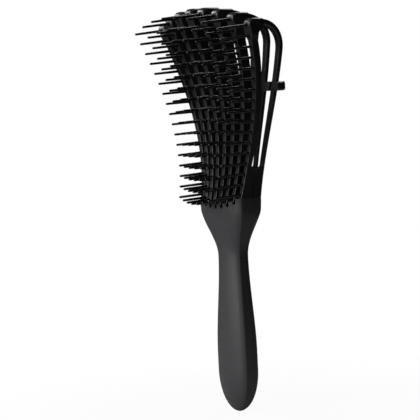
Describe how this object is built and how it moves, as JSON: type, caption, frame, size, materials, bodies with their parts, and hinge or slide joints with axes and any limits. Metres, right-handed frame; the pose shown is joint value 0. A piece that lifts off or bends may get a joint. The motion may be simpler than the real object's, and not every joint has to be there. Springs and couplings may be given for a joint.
{
  "type": "detangling brush",
  "caption": "Black plastic detangling brush: a slim waisted handle and a fan of flexible looped fingers, each with a row of straight round-tipped pins, and a spacer clip across the back ribs.",
  "frame": {"origin": "on the handle's axis in the middle of the full part of the grip, where a hand holds the brush", "axes": "+Z along the handle from the butt to the head, -Y the way the pins point, +X to the right across the fan seen from the pin side"},
  "size_m": [0.0828, 0.0565, 0.2384],
  "materials": {
    "handle_plastic": "soft satin, near black",
    "rib_plastic": "satin, near black",
    "pin_plastic": "smooth, slightly glossy, near black",
    "clip_plastic": "satin, near black"
  },
  "bodies": {
    "handle": {"handle_front": "handle_plastic", "handle_back": "handle_plastic"},
    "finger_1": {"front_rib_1": "rib_plastic", "pin_row_1": "pin_plastic", "back_rib_1": "rib_plastic"},
    "finger_2": {"front_rib_2": "rib_plastic", "pin_row_2": "pin_plastic", "back_rib_2": "rib_plastic"},
    "finger_3": {"front_rib_3": "rib_plastic", "pin_row_3": "pin_plastic", "back_rib_3": "rib_plastic"},
    "finger_4": {"front_rib_4": "rib_plastic", "pin_row_4": "pin_plastic", "back_rib_4": "rib_plastic"},
    "finger_5": {"front_rib_5": "rib_plastic", "pin_row_5": "pin_plastic", "back_rib_5": "rib_plastic"},
    "finger_6": {"front_rib_6": "rib_plastic", "pin_row_6": "pin_plastic", "back_rib_6": "rib_plastic"},
    "finger_7": {"front_rib_7": "rib_plastic", "pin_row_7": "pin_plastic", "back_rib_7": "rib_plastic"},
    "finger_8": {"front_rib_8": "rib_plastic", "pin_row_8": "pin_plastic", "back_rib_8": "rib_plastic"},
    "spacer_clip": {"spacer_clip": "clip_plastic"}
  },
  "joints": [
    {"name": "finger_1_flex", "type": "hinge", "parent": "handle", "child": "finger_1", "pos_m": [-0.0171, -0.00385, 0.09765], "axis": [-0.2051, 0.2377, 0.9495], "range_deg": [-4, 4], "stiffness_Nm_per_rad": 0.6},
    {"name": "finger_2_flex", "type": "hinge", "parent": "handle", "child": "finger_2", "pos_m": [-0.01213, -0.0057, 0.09594], "axis": [-0.1448, 0.2551, 0.956], "range_deg": [-4, 4], "stiffness_Nm_per_rad": 0.6},
    {"name": "finger_3_flex", "type": "hinge", "parent": "handle", "child": "finger_3", "pos_m": [-0.00725, -0.00695, 0.09479], "axis": [-0.0862, 0.2664, 0.96], "range_deg": [-4, 4], "stiffness_Nm_per_rad": 0.6},
    {"name": "finger_4_flex", "type": "hinge", "parent": "handle", "child": "finger_4", "pos_m": [-0.00241, -0.00757, 0.09422], "axis": [-0.0286, 0.2721, 0.9619], "range_deg": [-4, 4], "stiffness_Nm_per_rad": 0.6},
    {"name": "finger_5_flex", "type": "hinge", "parent": "handle", "child": "finger_5", "pos_m": [0.00241, -0.00757, 0.09422], "axis": [0.0286, 0.2721, 0.9619], "range_deg": [-4, 4], "stiffness_Nm_per_rad": 0.6},
    {"name": "finger_6_flex", "type": "hinge", "parent": "handle", "child": "finger_6", "pos_m": [0.00725, -0.00695, 0.09479], "axis": [0.0862, 0.2664, 0.96], "range_deg": [-4, 4], "stiffness_Nm_per_rad": 0.6},
    {"name": "finger_7_flex", "type": "hinge", "parent": "handle", "child": "finger_7", "pos_m": [0.01213, -0.0057, 0.09594], "axis": [0.1448, 0.2551, 0.956], "range_deg": [-4, 4], "stiffness_Nm_per_rad": 0.6},
    {"name": "finger_8_flex", "type": "hinge", "parent": "handle", "child": "finger_8", "pos_m": [0.0171, -0.00385, 0.09765], "axis": [0.2051, 0.2377, 0.9495], "range_deg": [-4, 4], "stiffness_Nm_per_rad": 0.6},
    {"name": "clip_pull", "type": "slide", "parent": "handle", "child": "spacer_clip", "axis": [0, 1, 0], "range_m": [0, 0.015]}
  ]
}
